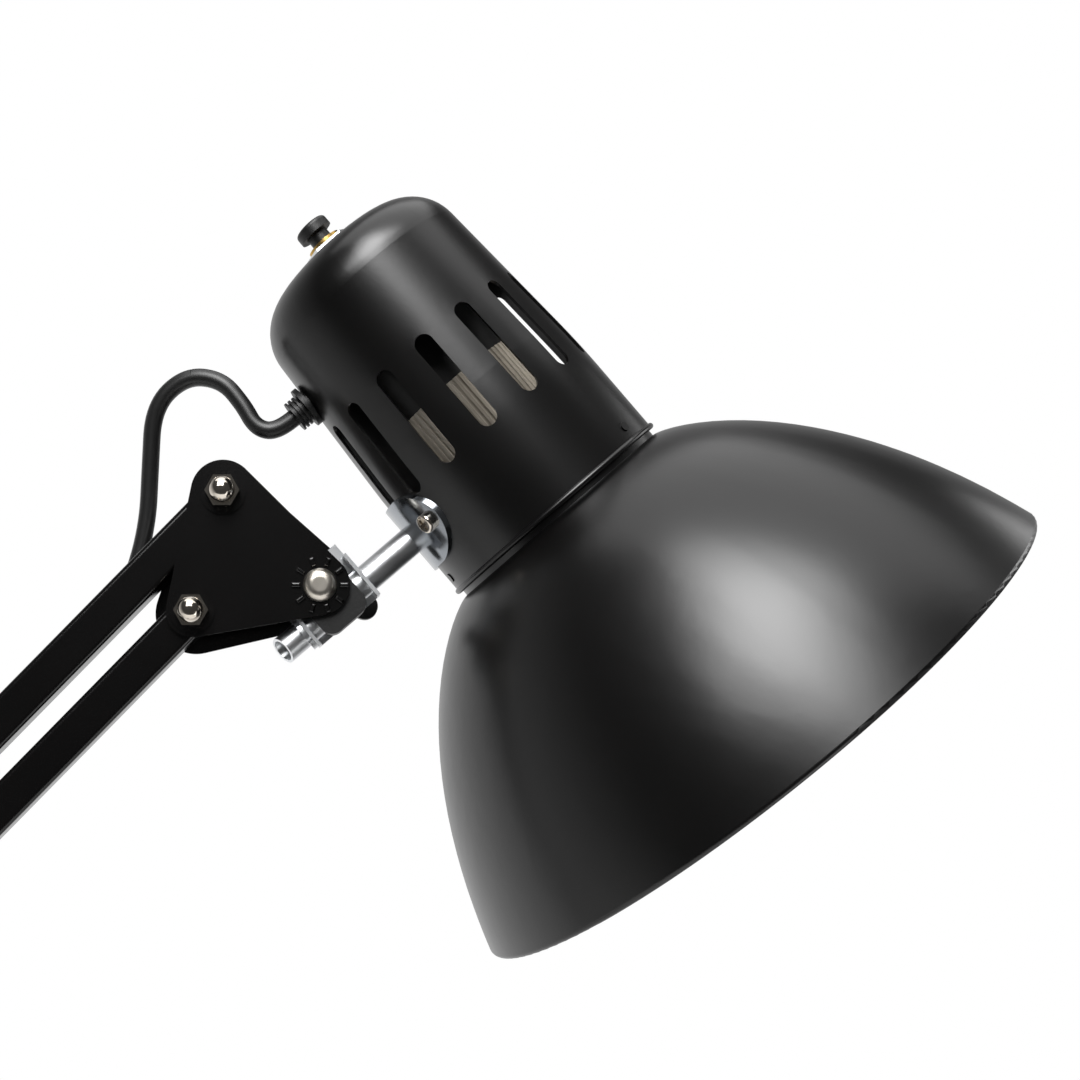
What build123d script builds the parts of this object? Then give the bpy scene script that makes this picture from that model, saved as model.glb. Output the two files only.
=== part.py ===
from build123d import *
import os
from math import cos, pi, radians, sin, sqrt, tan

# A clamp lamp with two parallelogram arms: table clamp, swivel fork, lower arm,
# elbow, upper arm, head plates, knuckle and a head with a spun dome shade.
# Millimetres, +Z up, the arms lie in the XZ plane, the origin is the middle of
# the jaw's seat on the table top.

# clearances
RUN = 0.05            # radial, pin in a turning hole
FIT = 0.02            # radial, pin in a fixed hole
SIDE_PLAY = 0.3       # bar to plate, each side
FACE_PLAY = 0.1       # flat faces that turn on each other

# table clamp
JAW_WIDTH = 30.0
JAW_PAD = 1.5
JAW_THICK = 8.0
JAW_FRONT = 24.0
JAW_BACK = 26.0
BACK_THICK = 8.0
OPENING = 64.0
LOWER_JAW_FRONT = 14.0
LOWER_JAW_THICK = 10.0
FRAME_ROUND = 5.0
SOCKET_R = 12.0
SOCKET_RISE = 24.0
BUSH_R = 8.0
BUSH_FLANGE_R = 11.0
BUSH_FLANGE = 1.5
BUSH_LENGTH = 26.0
SPINDLE_R = 6.0
SPINDLE_FLANGE = 3.0
SCREW_R = 5.0
SCREW_BOSS_R = 10.0
SCREW_BOSS = 6.0
SCREW_LENGTH = 85.0
SCREW_TIP_R = 4.0
SCREW_TIP = 5.0
TABLE_THICK = 30.0
PAD_R = 15.0
PAD_RUBBER = 2.0
PAD_DISC = 3.0
PAD_HUB_R = 8.0
PAD_HUB = 6.0
HANDLE_R = 3.0
HANDLE_LENGTH = 64.0
HANDLE_KNOB_R = 4.5
HANDLE_RISE = 7.0

# bars and plates
BAR = 10.5
BAR_WALL = 1.0
BAR_ROUND = 1.4
BAR_END = 7.0
PLATE = 1.5
GAP = BAR + 2 * SIDE_PLAY
PLATE_R = 7.0
EMBOSS_R = 6.0
EMBOSS = 0.6
BOLT_R = 2.5
BOLT_HEAD = 3.5
BOLT_FLATS = 8.0
NUT_HEX = 4.0
NUT_DOME_R = 3.4
NUT_TIP_R = 0.3
NUT_HEIGHT = 8.2
NUT_TOP = 2.4

# arms in the rest pose
LOWER_ANGLE = 110.0
LOWER_LENGTH = 380.0
LOWER_SPACING = 28.0
UPPER_ANGLE = 45.5
UPPER_LENGTH = 380.0
UPPER_PAIR = Vector(8.2, 0, 31.45)
ELBOW_RISE = 24.0
FORK_WEB = 2.0
FORK_HALF = 20.0
FORK_FOOT_R = 3.0
FORK_RISE = 13.0
RIVET_R = 4.0
RIVET_HEAD_R = 5.2
RIVET_HEAD = 1.5

# springs and their posts
FORK_ANCHOR = Vector(-26.0, 0, -2.0)
ELBOW_ANCHOR = Vector(-20.0, 0, 0)
ANCHOR_R = 2.0
ANCHOR_EYE_R = 5.0
SPRING_OUT = 12.6
STUD_AT = 80.0
STUD_CAP_R = 3.4
STUD_CAP = 1.2
STUD_TAIL = 0.5
COIL_R = 4.0
WIRE_R = 0.6
COILS = 24
HOOK_PLAY = 0.1
HOOK_NECK = 5.0

# head plates and knuckle
TILT_OFFSET = Vector(33.9, 0, 6.85)
HEAD_PLATE_UPPER_R = 8.6
HEAD_PLATE_NOSE_R = 8.0
FAR_PLATE_LOWER_R = 11.0
FAR_PLATE_NOSE_R = 10.0
RIBS = 10
RIB_IN = 5.2
RIB_OUT = 7.6
RIB_WIDE = 1.3
RIB_TALL = 0.8
RIB_ROUND = 0.5
TILT_R = 2.0
TILT_HEAD_R = 4.5
TILT_HEAD = 2.8
TILT_HEAD_ROUND = 2.7
WASHER = 0.8
WASHER_R = 5.0
KNOB_HUB_R = 5.0
KNOB_HUB = 8.0
KNOB_EAR_R = 3.6
KNOB_EAR_AT = 13.0
KNOB_EAR_THICK = 5.0
KNOB_TURN = -20.0
CLIP = 1.0
CLIP_SPAN = 21.6
CLIP_UP = 8.7
CLIP_DOWN = 5.6
BLOCK_UP = 13.0
BLOCK_DOWN = 6.2
BLOCK_LONG = 14.4
BLOCK_ROUND = 3.5
RETAINER_R = 5.3
RETAINER = 1.2
RETAINER_TABS = 6
TAB_WIDE = 1.2

# head: u runs along the axis from the neck to the mouth, v across it
HEAD_ANGLE = -49.3
STEM_U = -19.4
STEM_R = 3.9
STEM_WALL = 0.8
STEM_END = 81.4
STEM_CUT = 21.0
TILT_V = -61.1
TILT_TO_STEM = 6.5
HOUSING_R = 33.4
HOUSING_TOP_R = 29.6
HOUSING_STRAIGHT = 30.0
HOUSING_BLEND = 240.0
HOUSING_LENGTH = 91.0
HOUSING_ROUND = 14.0
WALL = 0.8
HEM_R = 0.8
SLOTS = 15
SLOT_LENGTH = 29.0
SLOT_WIDTH = 5.0
SLOT_U = -41.0
SLOT_FIRST = 84.4
COLLAR = 7.0
COLLAR_PLAY = 0.2
SHADE_R = 90.1
RIM_R = 1.2
NECK_U = 1.5
DOME_STEER_1 = (1.5, 36.4)
DOME_STEER_2 = (17.7, 71.0)
MOUTH_U = 78.3
CRIMP_U = -4.8
CRIMP_ANGLES = (6.0, 134.0, 262.0)
CRIMP_R = 0.9
CRIMP_HEAD_R = 1.3
CRIMP_HEAD = 0.3
SADDLE = 1.2
SADDLE_TALL = 20.4
SADDLE_WIDE = 43.0
SADDLE_SCREW_ANGLE = 31.0
SADDLE_SCREW_R = 1.5
SADDLE_SCREW_HEAD_R = 2.6
SADDLE_SCREW_HEAD = 2.0
SADDLE_SCREW_ROUND = 0.7
SADDLE_SCREW_LENGTH = 7.0
SADDLE_NUT_FLATS = 5.5
SADDLE_NUT = 2.4
CROSS_WIDE = 0.9
CROSS_LONG = 3.2
CROSS_DEEP = 1.0

# lampholder
SKIRT_TOP = -43.0
SKIRT_MOUTH = -6.0
SKIRT_R = 20.4
SKIRT_FLUTES = 72
SKIRT_FLUTE_R = 0.5
SKIRT_BORE = 14.2
SKIRT_FLOOR = -34.0
SHELL_WALL = 0.5
SHELL_MOUTH = -9.0
CONTACT_R = 4.0
CONTACT = 2.5
SHELL_LIFT = 0.5
CAP_TOP = -70.0
CAP_R = 19.5
CAP_ROUND = 3.0
NIPPLE_R = 5.0
NIPPLE_WALL = 1.95
NIPPLE_OUT = 4.4
NIPPLE_GRIP = 6.0
RING_NUT_R = 8.0
RING_NUT = 3.0
BUTTON_CAP_R = 4.8
BUTTON_CAP = 3.0
BUTTON_ROUND = 1.0
BUTTON_OUT = 6.0
BUTTON_LENGTH = 16.0

# cord
CORD_R = 2.4
GRIP_FROM_TOP = 26.0
GRIP_R = 4.2
GRIP_FLANGE_R = 5.8
GRIP_FLANGE = 1.4
GRIP_NOSE_R = 4.4
GRIP_NOSE = 3.6
GRIP_RIBS = 3
GRIP_RIB_CUT = 0.7
GRIP_TAIL = 4.0
GRIP_LIFT = 0.35
CORD_SLOT = 22.0
CORD_SLOT_WIDE = 6.4
HEAD_SLOT = 87.5
HEAD_SIDE_OUT = 11.5
ELBOW_SLOT = 42.0
BASE_SLOT = 46.0
SLOT_ANGLE = 22.0
SLOT_RUN = 21.0
COIL_CENTRE = Vector(-98.0, -42.0, 0)
COIL_INNER = 20.0
COIL_STEP = 5.4
COIL_HALF_TURNS = 3.25
COIL_LOW = 3.4
TIE = 0.7
TIE_WIDE = 6.0
TIE_PLAY = 0.5
PLUG_RELIEF_R = 3.6
PLUG_RELIEF = 22.0
PLUG_LONG = 32.0
PLUG_WIDE = 30.0
PLUG_TALL = 17.2
PLUG_ROUND = 4.0
PLUG_PIN_R = 2.0
PLUG_PIN = 19.0
PLUG_PIN_SPACING = 18.6
PLUG_LEAD = 24.0

os.makedirs("parts", exist_ok=True)


def save(built, name):
    """Label a finished piece and write its file."""
    built.label = name
    export_step(built, f"parts/{name}.step")


def heading(angle):
    """Unit vector in the arms' plane, counted up from +X."""
    return Vector(cos(radians(angle)), 0, sin(radians(angle)))


def arm_plane(origin, angle):
    """Plane with x along an arm, y across it and z towards the near side."""
    return Plane(origin, x_dir=heading(angle), z_dir=(0, -1, 0))


# the chain of pivots, from the table to the head
SOCKET_TOP = JAW_PAD + JAW_THICK + SOCKET_RISE
FLANGE_Z = SOCKET_TOP + BUSH_FLANGE + FACE_PLAY
WEB_Z = FLANGE_Z + SPINDLE_FLANGE
BASE_Z = WEB_Z + FORK_WEB + FORK_RISE
BASE = Vector(0, 0, BASE_Z)
BASE_REAR = BASE - Vector(LOWER_SPACING / 2, 0, 0)
BASE_FRONT = BASE + Vector(LOWER_SPACING / 2, 0, 0)
FORK_PIN = BASE + FORK_ANCHOR
ELBOW_REAR = BASE_REAR + heading(LOWER_ANGLE) * LOWER_LENGTH
ELBOW_FRONT = BASE_FRONT + heading(LOWER_ANGLE) * LOWER_LENGTH
ELBOW_LOW = (ELBOW_REAR + ELBOW_FRONT) * 0.5 + Vector(0, 0, ELBOW_RISE)
ELBOW_HIGH = ELBOW_LOW + UPPER_PAIR
ELBOW_PIN = ELBOW_HIGH + ELBOW_ANCHOR
HEAD_LOW = ELBOW_LOW + heading(UPPER_ANGLE) * UPPER_LENGTH
HEAD_HIGH = HEAD_LOW + UPPER_PAIR
TILT = HEAD_LOW + TILT_OFFSET
AXIS_DIR = heading(HEAD_ANGLE)
CROSS_DIR = heading(HEAD_ANGLE + 90)
NECK = TILT + AXIS_DIR * (TILT_TO_STEM - STEM_U) - CROSS_DIR * TILT_V
HEAD = Plane(NECK, x_dir=AXIS_DIR, z_dir=(0, -1, 0))
HEAD_AXIS = Axis(NECK, AXIS_DIR)

LOWER_REAR = arm_plane(BASE_REAR, LOWER_ANGLE)
LOWER_FRONT = arm_plane(BASE_FRONT, LOWER_ANGLE)
UPPER_LOW = arm_plane(ELBOW_LOW, UPPER_ANGLE)
UPPER_HIGH = arm_plane(ELBOW_HIGH, UPPER_ANGLE)
NEAR_FACE = GAP / 2 + PLATE


def flat(points):
    """Places in the arms' plane as sketch points of Plane.XZ."""
    return [(p.X, p.Z) for p in points]


# Table clamp: a cast C frame that opens towards -Y, with the swivel socket on
# its upper jaw and the thread boss under its lower jaw.
UPPER_JAW_Z = JAW_PAD
LOWER_JAW_Z = -OPENING
with BuildPart() as clamp_frame:
    with BuildSketch(Plane.YZ.offset(-JAW_WIDTH / 2)):
        with BuildLine():
            Polyline(
                (-JAW_FRONT, UPPER_JAW_Z),
                (-JAW_FRONT, UPPER_JAW_Z + JAW_THICK),
                (JAW_BACK + BACK_THICK, UPPER_JAW_Z + JAW_THICK),
                (JAW_BACK + BACK_THICK, LOWER_JAW_Z - LOWER_JAW_THICK),
                (-LOWER_JAW_FRONT, LOWER_JAW_Z - LOWER_JAW_THICK),
                (-LOWER_JAW_FRONT, LOWER_JAW_Z),
                (JAW_BACK, LOWER_JAW_Z),
                (JAW_BACK, UPPER_JAW_Z),
                close=True,
            )
        make_face()
    extrude(amount=JAW_WIDTH)
    fillet(clamp_frame.edges().filter_by(Axis.X).group_by(Axis.Y)[-1], FRAME_ROUND)
    with BuildSketch(Plane.XY.offset(UPPER_JAW_Z + JAW_THICK)):
        Circle(SOCKET_R)
    extrude(amount=SOCKET_RISE)
    with BuildSketch(Plane.XY.offset(LOWER_JAW_Z - LOWER_JAW_THICK)):
        Circle(SCREW_BOSS_R)
    extrude(amount=-SCREW_BOSS)
    with BuildSketch(Plane.XY.offset(SOCKET_TOP)):
        Circle(BUSH_R)
    extrude(amount=-BUSH_LENGTH, mode=Mode.SUBTRACT)
    with BuildSketch(Plane.XY.offset(LOWER_JAW_Z)):
        Circle(SCREW_R + RUN)
    extrude(amount=-LOWER_JAW_THICK - SCREW_BOSS, mode=Mode.SUBTRACT)
save(clamp_frame.part, "clamp_frame")

with BuildPart() as jaw_pad:
    with BuildSketch(Plane.XY):
        with Locations((0, (JAW_BACK - JAW_FRONT) / 2)):
            Rectangle(JAW_WIDTH, JAW_BACK + JAW_FRONT)
    extrude(amount=JAW_PAD)
save(jaw_pad.part, "jaw_pad")

with BuildPart() as swivel_bush:
    with BuildSketch(Plane.XY.offset(SOCKET_TOP)):
        Circle(BUSH_R - FIT)
    extrude(amount=-BUSH_LENGTH)
    with BuildSketch(Plane.XY.offset(SOCKET_TOP)):
        Circle(BUSH_FLANGE_R)
    extrude(amount=BUSH_FLANGE)
    with BuildSketch(Plane.XY.offset(SOCKET_TOP + BUSH_FLANGE)):
        Circle(SPINDLE_R + RUN)
    extrude(amount=-BUSH_LENGTH - BUSH_FLANGE, mode=Mode.SUBTRACT)
save(swivel_bush.part, "swivel_bush")

# Pressure pad: a steel disc with a rubber face, which turns on the screw's tip.
PAD_TOP = -TABLE_THICK
DISC_TOP = PAD_TOP - PAD_RUBBER
HUB_TOP = DISC_TOP - PAD_DISC
HUB_END = HUB_TOP - PAD_HUB
with BuildPart() as pad_rubber:
    with BuildSketch(Plane.XY.offset(DISC_TOP)):
        Circle(PAD_R)
    extrude(amount=PAD_RUBBER)
save(pad_rubber.part, "pad_rubber")

with BuildPart() as pressure_pad:
    with BuildSketch(Plane.XY.offset(HUB_TOP)):
        Circle(PAD_R)
    extrude(amount=PAD_DISC)
    with BuildSketch(Plane.XY.offset(HUB_END)):
        Circle(PAD_HUB_R)
    extrude(amount=PAD_HUB)
    with BuildSketch(Plane.XY.offset(HUB_END)):
        Circle(SCREW_TIP_R + RUN)
    extrude(amount=SCREW_TIP, mode=Mode.SUBTRACT)
save(pressure_pad.part, "pressure_pad")

SCREW_TOP = HUB_END - FACE_PLAY
SCREW_END = SCREW_TOP - SCREW_LENGTH
HANDLE_Z = SCREW_END + HANDLE_RISE
with BuildPart() as clamp_screw:
    with BuildSketch(Plane.XY.offset(SCREW_END)):
        Circle(SCREW_R)
    extrude(amount=SCREW_LENGTH)
    with BuildSketch(Plane.XY.offset(SCREW_TOP)):
        Circle(SCREW_TIP_R)
    extrude(amount=SCREW_TIP)
    with BuildSketch(Plane.YZ):
        with Locations((0, HANDLE_Z)):
            Circle(HANDLE_R + FIT)
    extrude(amount=SCREW_R * 2, both=True, mode=Mode.SUBTRACT)
save(clamp_screw.part, "clamp_screw")

with BuildPart() as clamp_handle:
    with BuildSketch(Plane.YZ):
        with Locations((0, HANDLE_Z)):
            Circle(HANDLE_R)
    extrude(amount=HANDLE_LENGTH / 2, both=True)
    with Locations((-HANDLE_LENGTH / 2, 0, HANDLE_Z), (HANDLE_LENGTH / 2, 0, HANDLE_Z)):
        Sphere(HANDLE_KNOB_R)
save(clamp_handle.part, "clamp_handle")

# Swivel spindle: turns in the bush and is riveted through the fork's web.
with BuildPart() as spindle:
    with BuildSketch(Plane.XY.offset(FLANGE_Z)):
        Circle(BUSH_FLANGE_R)
    extrude(amount=SPINDLE_FLANGE)
    with BuildSketch(Plane.XY.offset(FLANGE_Z)):
        Circle(SPINDLE_R)
    extrude(amount=-BUSH_LENGTH - BUSH_FLANGE)
    with BuildSketch(Plane.XY.offset(WEB_Z)):
        Circle(RIVET_R)
    extrude(amount=FORK_WEB)
    with BuildSketch(Plane.XY.offset(WEB_Z + FORK_WEB)):
        Circle(RIVET_HEAD_R)
    extrude(amount=RIVET_HEAD)
save(spindle.part, "swivel_spindle")

# Base fork: one folded steel channel, two cheeks on a web.
FORK_CORNERS = [
    Vector(x, 0, WEB_Z + FORK_FOOT_R) for x in (-FORK_HALF, FORK_HALF)
]
with BuildPart() as base_fork:
    for face in (GAP / 2, -NEAR_FACE):
        with BuildSketch(Plane.XZ.offset(face)):
            with Locations(*flat([BASE_REAR, BASE_FRONT])):
                Circle(PLATE_R)
            with Locations(*flat([FORK_PIN])):
                Circle(ANCHOR_EYE_R)
            with Locations(*flat(FORK_CORNERS)):
                Circle(FORK_FOOT_R)
            make_hull()
            with Locations(*flat([BASE_REAR, BASE_FRONT])):
                Circle(BOLT_R + FIT, mode=Mode.SUBTRACT)
            with Locations(*flat([FORK_PIN])):
                Circle(ANCHOR_R + FIT, mode=Mode.SUBTRACT)
        extrude(amount=PLATE)
    with BuildSketch(Plane.XZ.offset(NEAR_FACE)):
        with Locations(*flat([BASE_REAR, BASE_FRONT])):
            Circle(EMBOSS_R)
            Circle(BOLT_R + FIT, mode=Mode.SUBTRACT)
    extrude(amount=EMBOSS)
    with BuildSketch(Plane.XY.offset(WEB_Z)):
        Rectangle(2 * FORK_HALF, 2 * NEAR_FACE)
        Circle(RIVET_R + FIT, mode=Mode.SUBTRACT)
    extrude(amount=FORK_WEB)
save(base_fork.part, "base_fork")


def pivot_bolts(points):
    """Hexagon bolts through both plates, heads on the far side."""
    with BuildPart() as bolts:
        with BuildSketch(Plane.XZ.offset(-NEAR_FACE)):
            with Locations(*flat(points)):
                RegularPolygon(BOLT_FLATS / 2, 6, major_radius=False)
        extrude(amount=-BOLT_HEAD)
        with BuildSketch(Plane.XZ.offset(-NEAR_FACE)):
            with Locations(*flat(points)):
                Circle(BOLT_R)
        extrude(amount=2 * NEAR_FACE + EMBOSS + NUT_HEIGHT - NUT_TOP)
    return bolts.part


def cap_nuts(points):
    """Domed nuts on the near side, seated on the plate's embossed rings."""
    with BuildPart() as nuts:
        with BuildSketch(Plane.XZ.offset(NEAR_FACE + EMBOSS)):
            with Locations(*flat(points)):
                RegularPolygon(BOLT_FLATS / 2, 6, major_radius=False)
        extrude(amount=NUT_HEX)
        with BuildSketch(Plane.XZ.offset(NEAR_FACE + EMBOSS)):
            with Locations(*flat(points)):
                Circle(NUT_DOME_R)
        extrude(amount=NUT_HEIGHT)
        fillet(nuts.edges().group_by(Axis.Y)[0], NUT_DOME_R - NUT_TIP_R)
        with BuildSketch(Plane.XZ.offset(NEAR_FACE + EMBOSS)):
            with Locations(*flat(points)):
                Circle(BOLT_R + FIT)
        extrude(amount=NUT_HEIGHT - NUT_TOP, mode=Mode.SUBTRACT)
    return nuts.part


def plate(circles, bolts, pins, face):
    """Steel plate in the arms' plane: the hull of circles, drilled for bolts and pins."""
    with BuildPart() as sheet:
        with BuildSketch(Plane.XZ.offset(face)):
            for centre, radius in circles:
                with Locations(*flat([centre])):
                    Circle(radius)
            make_hull()
            with Locations(*flat(bolts)):
                Circle(BOLT_R + FIT, mode=Mode.SUBTRACT)
            for centre, radius in pins:
                with Locations(*flat([centre])):
                    Circle(radius + FIT, mode=Mode.SUBTRACT)
        extrude(amount=PLATE)
        if face > 0:
            with BuildSketch(Plane.XZ.offset(face + PLATE)):
                with Locations(*flat(bolts)):
                    Circle(EMBOSS_R)
                    Circle(BOLT_R + FIT, mode=Mode.SUBTRACT)
            extrude(amount=EMBOSS)
    return sheet.part


def bar(plane, length, studs, cord_slots):
    """Square tube between two pivots, with stud holes and slots for the cord."""
    with BuildPart() as tube:
        with BuildSketch(Plane(plane.origin - plane.x_dir * BAR_END, x_dir=(0, 1, 0),
                               z_dir=plane.x_dir)):
            RectangleRounded(BAR, BAR, BAR_ROUND)
            RectangleRounded(BAR - 2 * BAR_WALL, BAR - 2 * BAR_WALL, BAR_ROUND - BAR_WALL,
                             mode=Mode.SUBTRACT)
        extrude(amount=length + 2 * BAR_END)
        with BuildSketch(plane):
            with Locations((0, 0), (length, 0)):
                Circle(BOLT_R + RUN)
            for at in studs:
                with Locations((at, 0)):
                    Circle(ANCHOR_R + FIT)
        extrude(amount=BAR, both=True, mode=Mode.SUBTRACT)
        for at, out in cord_slots:
            wall = Plane(plane.origin + out * (BAR / 2 - 2 * BAR_WALL), x_dir=plane.x_dir, z_dir=out)
            with BuildSketch(wall):
                with Locations((at, 0)):
                    SlotOverall(CORD_SLOT, CORD_SLOT_WIDE)
            extrude(amount=3 * BAR_WALL, mode=Mode.SUBTRACT)
    return tube.part


def spring_studs(plane):
    """Two posts riveted into a bar's sides, with caps that keep the hooks on."""
    with BuildPart() as studs:
        for side in (1, -1):
            foot = plane.offset(side * (BAR / 2 - BAR_WALL - STUD_TAIL))
            tip = SPRING_OUT + 2 * WIRE_R + STUD_CAP
            with BuildSketch(foot):
                with Locations((STUD_AT, 0)):
                    Circle(ANCHOR_R)
            extrude(amount=side * (tip - BAR / 2 + BAR_WALL + STUD_TAIL))
            with BuildSketch(plane.offset(side * tip)):
                with Locations((STUD_AT, 0)):
                    Circle(STUD_CAP_R)
            extrude(amount=-side * STUD_CAP)
    return studs.part


def anchor_pin(centre):
    """Pin through both plates with a cap at each end for the springs' lower hooks."""
    tip = SPRING_OUT + 2 * WIRE_R + STUD_CAP
    with BuildPart() as pin:
        with BuildSketch(Plane.XZ):
            with Locations(*flat([centre])):
                Circle(ANCHOR_R)
        extrude(amount=tip, both=True)
        for side in (1, -1):
            with BuildSketch(Plane.XZ.offset(side * tip)):
                with Locations(*flat([centre])):
                    Circle(STUD_CAP_R)
            extrude(amount=-side * STUD_CAP)
    return pin.part


def biarc(p0, t0, p1, t1):
    """Two arcs that leave p0 along t0 and reach p1 along t1."""
    across, both, turn = p1 - p0, t0 + t1, 2 * (1 - t0.dot(t1))
    if turn < 1e-9:
        reach = across.dot(across) / (4 * across.dot(t1))
    else:
        run = across.dot(both)
        reach = (sqrt(run * run + turn * across.dot(across)) - run) / turn
    q0, q1 = p0 + t0 * reach, p1 - t1 * reach
    middle = (q0 + q1) * 0.5
    TangentArc(p0, middle, tangent=t0)
    TangentArc(middle, p1, tangent=(q1 - q0).normalized())


def least_gap(points, radius, apart):
    """Least gap between stretches of a tube that lie more than apart along it."""
    along = [0.0]
    for a, b in zip(points, points[1:]):
        along.append(along[-1] + (b - a).length)
    return min(
        (points[i] - points[j]).length
        for i in range(len(points))
        for j in range(i)
        if along[i] - along[j] > apart
    ) - 2 * radius


def spring(start, end, name):
    """Tension spring between two posts: hooks in the arms' plane and a helix between."""
    axis = (end - start).normalized()
    side = Vector(0, 1, 0)
    out = side.cross(axis)
    hook_r = ANCHOR_R + WIRE_R + HOOK_PLAY
    neck = hook_r + HOOK_NECK
    body = (end - start).length - 2 * neck
    pitch = body / COILS

    def turn_at(turns):
        angle = 2 * pi * turns
        place = start + axis * (neck + pitch * turns) + (out * cos(angle) + side * sin(angle)) * COIL_R
        way = (side * cos(angle) - out * sin(angle)) * (2 * pi * COIL_R) + axis * pitch
        return place, way.normalized()

    stops = [
        (start - out * hook_r, -axis),
        (start - axis * hook_r, out),
        (start + out * hook_r, axis),
    ]
    stops += [turn_at(n / 4) for n in range(1, 4 * COILS)]
    stops += [
        (end + out * hook_r, axis),
        (end + axis * hook_r, -out),
        (end - out * hook_r, -axis),
    ]
    with BuildPart() as coil:
        with BuildLine() as path:
            for (p0, t0), (p1, t1) in zip(stops, stops[1:]):
                biarc(p0, t0, p1, t1)
        with BuildSketch(Plane(stops[0][0], z_dir=stops[0][1])):
            Circle(WIRE_R)
        sweep()
    fine = [turn_at(n / 24)[0] for n in range(24 * COILS)]
    print(name, "turns", COILS, "pitch", round(pitch, 2), "gap to itself",
          round(least_gap(fine[:120], WIRE_R, pi * COIL_R), 2))
    return coil.part


def smooth_run(points, name):
    """Cord tube along straight runs joined by arcs as large as the runs allow."""
    points = [Vector(p) for p in points]
    radii = []
    for a, b, c in zip(points, points[1:], points[2:]):
        turn = (b - a).get_angle(c - b)
        radii.append(0.45 * min((b - a).length, (c - b).length) / tan(radians(turn) / 2))
    with BuildPart() as cord:
        with BuildLine() as path:
            FilletPolyline(*points, radius=radii)
        with BuildSketch(Plane(points[0], z_dir=points[1] - points[0])):
            Circle(CORD_R)
        sweep()
    length = path.wire().length
    print(name, "length", round(length, 1), "radii", [round(r, 1) for r in radii],
          "volume share", round(cord.part.volume / (pi * CORD_R ** 2 * length), 4))
    return cord.part


def straight_run(start, end):
    """Straight stretch of cord."""
    with BuildPart() as cord:
        with BuildSketch(Plane(start, z_dir=end - start)):
            Circle(CORD_R)
        extrude(amount=(end - start).length)
    return cord.part


# Base pivots and the fork's spring pin.
save(pivot_bolts([BASE_REAR, BASE_FRONT]), "base_bolts")
save(cap_nuts([BASE_REAR, BASE_FRONT]), "base_cap_nuts")
save(anchor_pin(FORK_PIN), "base_spring_pin")

# Lower arm: the rear bar carries the springs' studs and the cord.
outward = LOWER_REAR.y_dir
save(bar(LOWER_REAR, LOWER_LENGTH, [STUD_AT],
         [(BASE_SLOT, outward), (LOWER_LENGTH - ELBOW_SLOT, outward)]), "lower_rear_bar")
save(bar(LOWER_FRONT, LOWER_LENGTH, [], []), "lower_front_bar")
save(spring_studs(LOWER_REAR), "lower_spring_studs")

# Elbow: two plates that hold all four bar ends and the upper springs' pin.
ELBOW_BOLTS = [ELBOW_REAR, ELBOW_FRONT, ELBOW_LOW, ELBOW_HIGH]
ELBOW_OUTLINE = [(p, PLATE_R) for p in ELBOW_BOLTS] + [(ELBOW_PIN, ANCHOR_EYE_R)]
save(plate(ELBOW_OUTLINE, ELBOW_BOLTS, [(ELBOW_PIN, ANCHOR_R)], GAP / 2), "elbow_plate_near")
save(plate(ELBOW_OUTLINE, ELBOW_BOLTS, [(ELBOW_PIN, ANCHOR_R)], -NEAR_FACE), "elbow_plate_far")
save(pivot_bolts(ELBOW_BOLTS), "elbow_bolts")
save(cap_nuts(ELBOW_BOLTS), "elbow_cap_nuts")
save(anchor_pin(ELBOW_PIN), "elbow_spring_pin")

# Upper arm: the top bar carries the springs' studs and the cord.
far_side = -UPPER_HIGH.z_dir
save(bar(UPPER_HIGH, UPPER_LENGTH, [STUD_AT],
         [(ELBOW_SLOT, UPPER_HIGH.y_dir), (UPPER_LENGTH - HEAD_SLOT, far_side)]), "upper_top_bar")
save(bar(UPPER_LOW, UPPER_LENGTH, [], []), "upper_bottom_bar")
save(spring_studs(UPPER_HIGH), "upper_spring_studs")

# Springs, one on each side of each arm.
for name, pin, arm in (("lower_springs", FORK_PIN, LOWER_REAR), ("upper_springs", ELBOW_PIN, UPPER_HIGH)):
    stud = arm.from_local_coords(Vector(STUD_AT, 0, 0))
    with BuildPart() as pair:
        for side in (-1, 1):
            out = Vector(0, side * SPRING_OUT, 0)
            add(spring(pin + out, stud + out, name))
    save(pair.part, name)

# Head plates: the far one is a little larger, so its edge shows below the near one.
HEAD_BOLTS = [HEAD_LOW, HEAD_HIGH]
NEAR_OUTLINE = [(HEAD_LOW, PLATE_R), (TILT, HEAD_PLATE_NOSE_R), (HEAD_HIGH, HEAD_PLATE_UPPER_R)]
FAR_OUTLINE = [(HEAD_LOW, FAR_PLATE_LOWER_R), (TILT, FAR_PLATE_NOSE_R), (HEAD_HIGH, HEAD_PLATE_UPPER_R)]
with BuildPart() as head_plate_near:
    add(plate(NEAR_OUTLINE, HEAD_BOLTS, [(TILT, TILT_R)], GAP / 2))
    with BuildSketch(Plane.XZ.offset(NEAR_FACE)):
        with Locations(*flat([TILT])):
            with PolarLocations((RIB_IN + RIB_OUT) / 2, RIBS):
                Rectangle(RIB_OUT - RIB_IN, RIB_WIDE)
    extrude(amount=RIB_TALL)
    fillet(head_plate_near.edges().group_by(Axis.Y)[0], RIB_ROUND)
save(head_plate_near.part, "head_plate_near")
save(plate(FAR_OUTLINE, HEAD_BOLTS, [(TILT, TILT_R)], -NEAR_FACE), "head_plate_far")
save(pivot_bolts(HEAD_BOLTS), "head_bolts")
save(cap_nuts(HEAD_BOLTS), "head_cap_nuts")

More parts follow.
